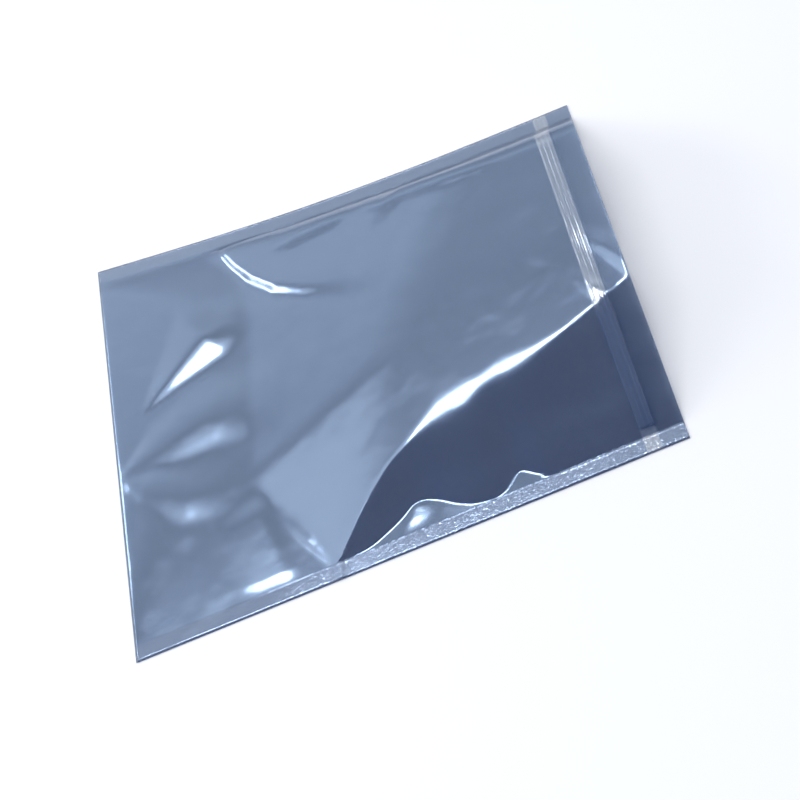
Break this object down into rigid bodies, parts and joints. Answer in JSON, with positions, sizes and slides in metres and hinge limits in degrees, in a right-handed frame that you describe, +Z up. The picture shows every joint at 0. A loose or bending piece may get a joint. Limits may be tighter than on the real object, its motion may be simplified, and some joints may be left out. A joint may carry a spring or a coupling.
{
  "type": "anti static shielding bag",
  "caption": "Reclosable see-through metallised film bag, heat-sealed along both sides, lying puffed up with its press-in zip mouth open.",
  "frame": {"origin": "on the surface that the bag lies on, under the middle of its outline", "axes": "+X from the bottom fold to the open mouth, +Y from the near side seal to the far one, +Z up from the back film to the front film"},
  "size_m": [0.2, 0.17, 0.0323],
  "materials": {
    "metallised_film": "thin metallised film, blue grey, see-through and mirror bright",
    "zip_track": "clear extruded polyethylene"
  },
  "bodies": {
    "root": {"bag_film": "metallised_film", "zip_rib_track": "zip_track", "zip_groove_track": "zip_track"}
  },
  "joints": []
}
